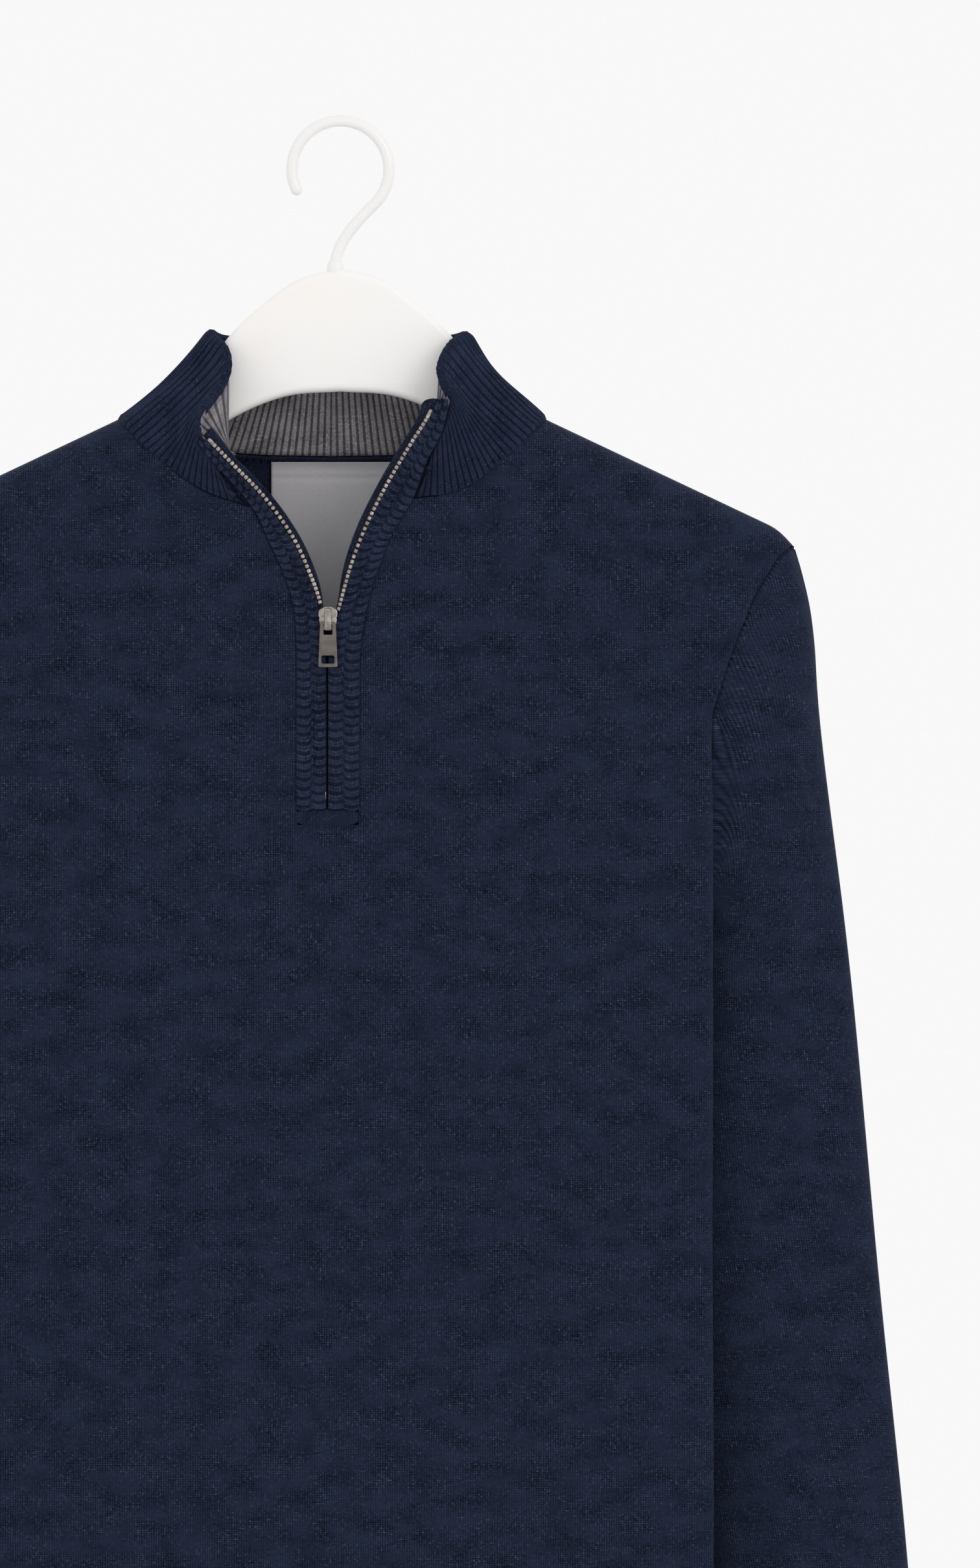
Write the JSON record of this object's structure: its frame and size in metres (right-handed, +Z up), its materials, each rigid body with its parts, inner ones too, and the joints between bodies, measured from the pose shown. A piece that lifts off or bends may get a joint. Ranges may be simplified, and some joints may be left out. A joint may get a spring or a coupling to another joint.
{
  "type": "quarter zip sweater on a clothes hanger",
  "caption": "Fine-knit quarter zip sweater with a rib stand collar, zip placket, rib hem and cuffs, hung open-necked on a plain shaped hanger; the zip's pull tab swings.",
  "frame": {"origin": "the inside of the top of the hanger's hook, where a rail carries it", "axes": "+Z up along the hanging garment's length, -Y out of the garment's front, +X towards the viewer's right when facing its front (the wearer's left)"},
  "size_m": [0.6026, 0.0858, 0.8598],
  "materials": {
    "navy_knit": "fine heathered jersey, matt",
    "navy_rib": "rib knit, matt",
    "grey_rib": "heathered rib knit, matt",
    "navy_cord": "fine braid, matt",
    "zip_tape": "woven tape with a metal tooth chain",
    "zip_metal": "pale nickel, polished",
    "tab_metal": "warm dark metal, satin",
    "satin_label": "plain satin, soft sheen",
    "hanger_white": "white, semi-gloss",
    "hook_white": "white coated wire"
  },
  "bodies": {
    "sweater": {"front_body": "navy_knit", "back_body": "navy_knit", "sleeve_left": "navy_knit", "sleeve_right": "navy_knit", "cuff_left": "navy_rib", "cuff_right": "navy_rib", "hem_rib": "navy_rib", "collar_outer": "navy_rib", "collar_facing": "grey_rib", "neck_cord": "navy_cord", "placket_left": "navy_rib", "placket_right": "navy_rib", "placket_tuck": "navy_rib", "zip_tape_left": "zip_tape", "zip_tape_right": "zip_tape", "zip_slider": "zip_metal", "neck_label": "satin_label", "hanger": "hanger_white", "hanger_hook": "hook_white"},
    "pull_tab": {"pull_tab": "tab_metal"}
  },
  "joints": [
    {"name": "pull_tab_swing", "type": "hinge", "parent": "sweater", "child": "pull_tab", "pos_m": [-0.0062, -0.04465, -0.2561], "axis": [-1, 0, 0], "range_deg": [0, 140]}
  ]
}
